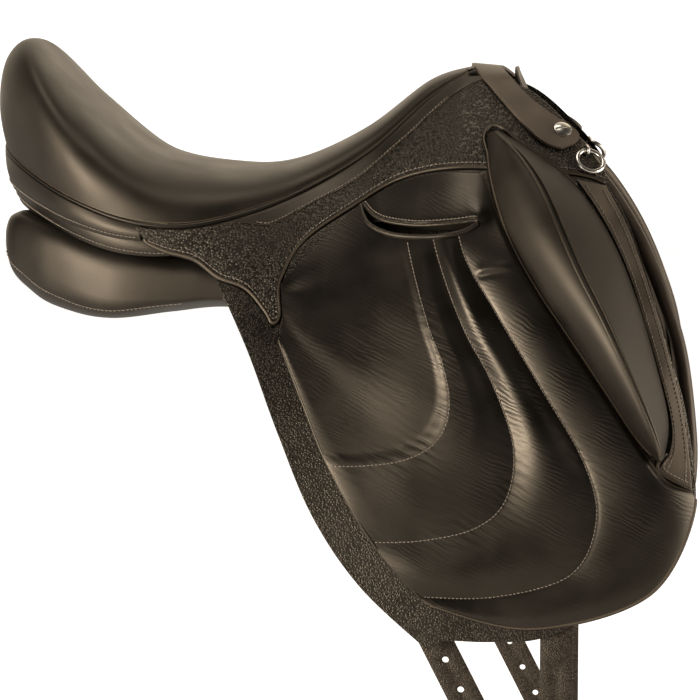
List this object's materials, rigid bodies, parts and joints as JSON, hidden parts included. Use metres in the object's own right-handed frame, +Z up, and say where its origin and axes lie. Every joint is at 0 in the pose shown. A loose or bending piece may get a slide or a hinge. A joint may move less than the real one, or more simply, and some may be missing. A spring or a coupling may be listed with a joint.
{
  "type": "dressage saddle",
  "caption": "Deep-seated dressage saddle with long padded flaps, large outside knee blocks, long girth straps and stirrup bars under the skirts.",
  "frame": {"origin": "on the centre plane at the level where the panels bear on the horse, close under the deepest part of the seat", "axes": "+X to the horse's head, +Y to the horse's left, +Z up"},
  "size_m": [0.5485, 0.453, 0.6872],
  "materials": {
    "smooth_leather": "smooth waxed calf leather, satin",
    "grain_leather": "pebbled grain leather, semi-matt",
    "lining_leather": "plain lining leather, matt",
    "strap_leather": "bridle leather, satin",
    "webbing": "woven linen web",
    "latex_foam": "latex foam",
    "beech": "laminated beech",
    "forged_steel": "forged and polished",
    "nickel": "nickel plated"
  },
  "bodies": {
    "saddle": {"tree_head": "beech", "tree_rail_right": "beech", "tree_rail_left": "beech", "tree_cantle": "beech", "gullet_plate": "forged_steel", "gullet_rivets": "nickel", "stirrup_bar_right": "forged_steel", "stirrup_bar_left": "forged_steel", "bar_rivets": "nickel", "catch_pins": "nickel", "seat_webbing": "webbing", "seat_foam": "latex_foam", "seat_cover": "smooth_leather", "seat_piping": "smooth_leather", "skirt_right": "grain_leather", "skirt_left": "grain_leather", "pommel_strap": "smooth_leather", "pommel_screws": "nickel", "gullet_facing": "lining_leather", "cantle_strip": "smooth_leather", "rear_facing": "lining_leather", "dee_staples": "nickel", "panel_right": "smooth_leather", "panel_left": "smooth_leather", "sweat_flap_right": "lining_leather", "sweat_flap_left": "lining_leather", "front_roll_right": "smooth_leather", "front_roll_left": "smooth_leather", "point_pocket_right": "lining_leather", "point_pocket_left": "lining_leather", "girth_web_front_right": "webbing", "girth_web_front_left": "webbing", "girth_web_rear_right": "webbing", "girth_web_rear_left": "webbing"},
    "flap_right_unit": {"flap_right": "grain_leather", "flap_pad_right": "smooth_leather", "front_strip_right": "grain_leather", "knee_block_right": "smooth_leather", "knee_welt_right": "smooth_leather", "slot_welt_right": "smooth_leather"},
    "billet_front_right_strap": {"billet_front_right": "strap_leather"},
    "billet_rear_right_strap": {"billet_rear_right": "strap_leather"},
    "dee_ring_right_loop": {"dee_ring_right": "nickel"},
    "stirrup_catch_right_piece": {"stirrup_catch_right": "forged_steel"},
    "flap_left_unit": {"flap_left": "grain_leather", "flap_pad_left": "smooth_leather", "front_strip_left": "grain_leather", "knee_block_left": "smooth_leather", "knee_welt_left": "smooth_leather", "slot_welt_left": "smooth_leather"},
    "billet_front_left_strap": {"billet_front_left": "strap_leather"},
    "billet_rear_left_strap": {"billet_rear_left": "strap_leather"},
    "dee_ring_left_loop": {"dee_ring_left": "nickel"},
    "stirrup_catch_left_piece": {"stirrup_catch_left": "forged_steel"}
  },
  "joints": [
    {"name": "flap_right_lift", "type": "hinge", "parent": "saddle", "child": "flap_right_unit", "pos_m": [-0.024, -0.14, 0.072], "axis": [-0.9038, -0.1963, -0.3803], "range_deg": [0, 35]},
    {"name": "billet_front_right_swing", "type": "hinge", "parent": "saddle", "child": "billet_front_right_strap", "pos_m": [0.231, -0.17675, 0.001], "axis": [0, 1, 0], "range_deg": [-10, 10]},
    {"name": "billet_rear_right_swing", "type": "hinge", "parent": "saddle", "child": "billet_rear_right_strap", "pos_m": [0.038, -0.17514, -0.02], "axis": [0, 1, 0], "range_deg": [-6, 24]},
    {"name": "dee_ring_right_tip", "type": "hinge", "parent": "saddle", "child": "dee_ring_right_loop", "pos_m": [0.24932, -0.09793, 0.1336], "axis": [-0.9189, -0.3945, 0], "range_deg": [0, 100]},
    {"name": "stirrup_catch_right_turn", "type": "hinge", "parent": "saddle", "child": "stirrup_catch_right_piece", "pos_m": [0.10021, -0.07353, 0.10793], "axis": [-0.239, -0.971, 0], "range_deg": [0, 80]},
    {"name": "flap_left_lift", "type": "hinge", "parent": "saddle", "child": "flap_left_unit", "pos_m": [-0.024, 0.14, 0.072], "axis": [0.9038, -0.1963, 0.3803], "range_deg": [0, 35]},
    {"name": "billet_front_left_swing", "type": "hinge", "parent": "saddle", "child": "billet_front_left_strap", "pos_m": [0.231, 0.17675, 0.001], "axis": [0, 1, 0], "range_deg": [-10, 10]},
    {"name": "billet_rear_left_swing", "type": "hinge", "parent": "saddle", "child": "billet_rear_left_strap", "pos_m": [0.038, 0.17514, -0.02], "axis": [0, 1, 0], "range_deg": [-6, 24]},
    {"name": "dee_ring_left_tip", "type": "hinge", "parent": "saddle", "child": "dee_ring_left_loop", "pos_m": [0.24932, 0.09793, 0.1336], "axis": [0.9189, -0.3945, 0], "range_deg": [0, 100]},
    {"name": "stirrup_catch_left_turn", "type": "hinge", "parent": "saddle", "child": "stirrup_catch_left_piece", "pos_m": [0.10021, 0.07353, 0.10793], "axis": [0.239, -0.971, 0], "range_deg": [0, 80]}
  ]
}
